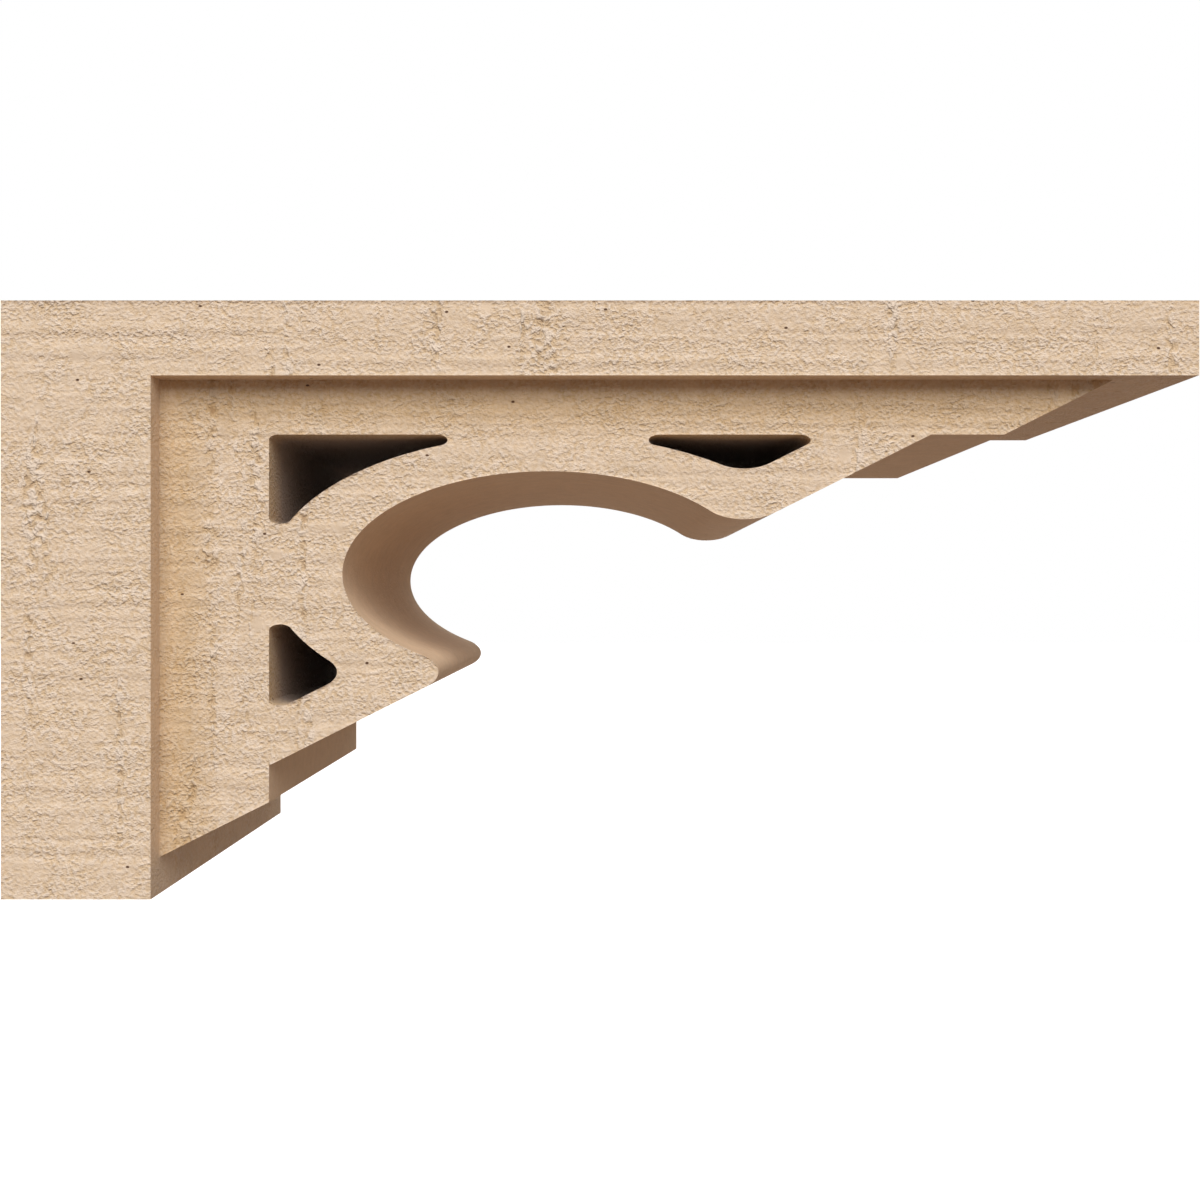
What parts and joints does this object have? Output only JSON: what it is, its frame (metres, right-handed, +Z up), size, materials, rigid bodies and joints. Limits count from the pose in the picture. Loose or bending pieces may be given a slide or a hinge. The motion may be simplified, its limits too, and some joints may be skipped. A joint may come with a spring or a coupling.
{
  "type": "corbel",
  "caption": "One-piece moulded corbel: a thick wall leg and a top bar joined by a pierced brace with a flattened arch and stepped slopes, rough-sawn texture, primed tan.",
  "frame": {"origin": "middle of the leg's back face, which goes flat against the wall", "axes": "+X straight out from the wall along the top bar, +Z up, +Y across the corbel's width"},
  "size_m": [0.6096, 0.254, 0.3048],
  "materials": {
    "primed_moulding": "matte"
  },
  "bodies": {
    "root": {"corbel": "primed_moulding"}
  },
  "joints": []
}
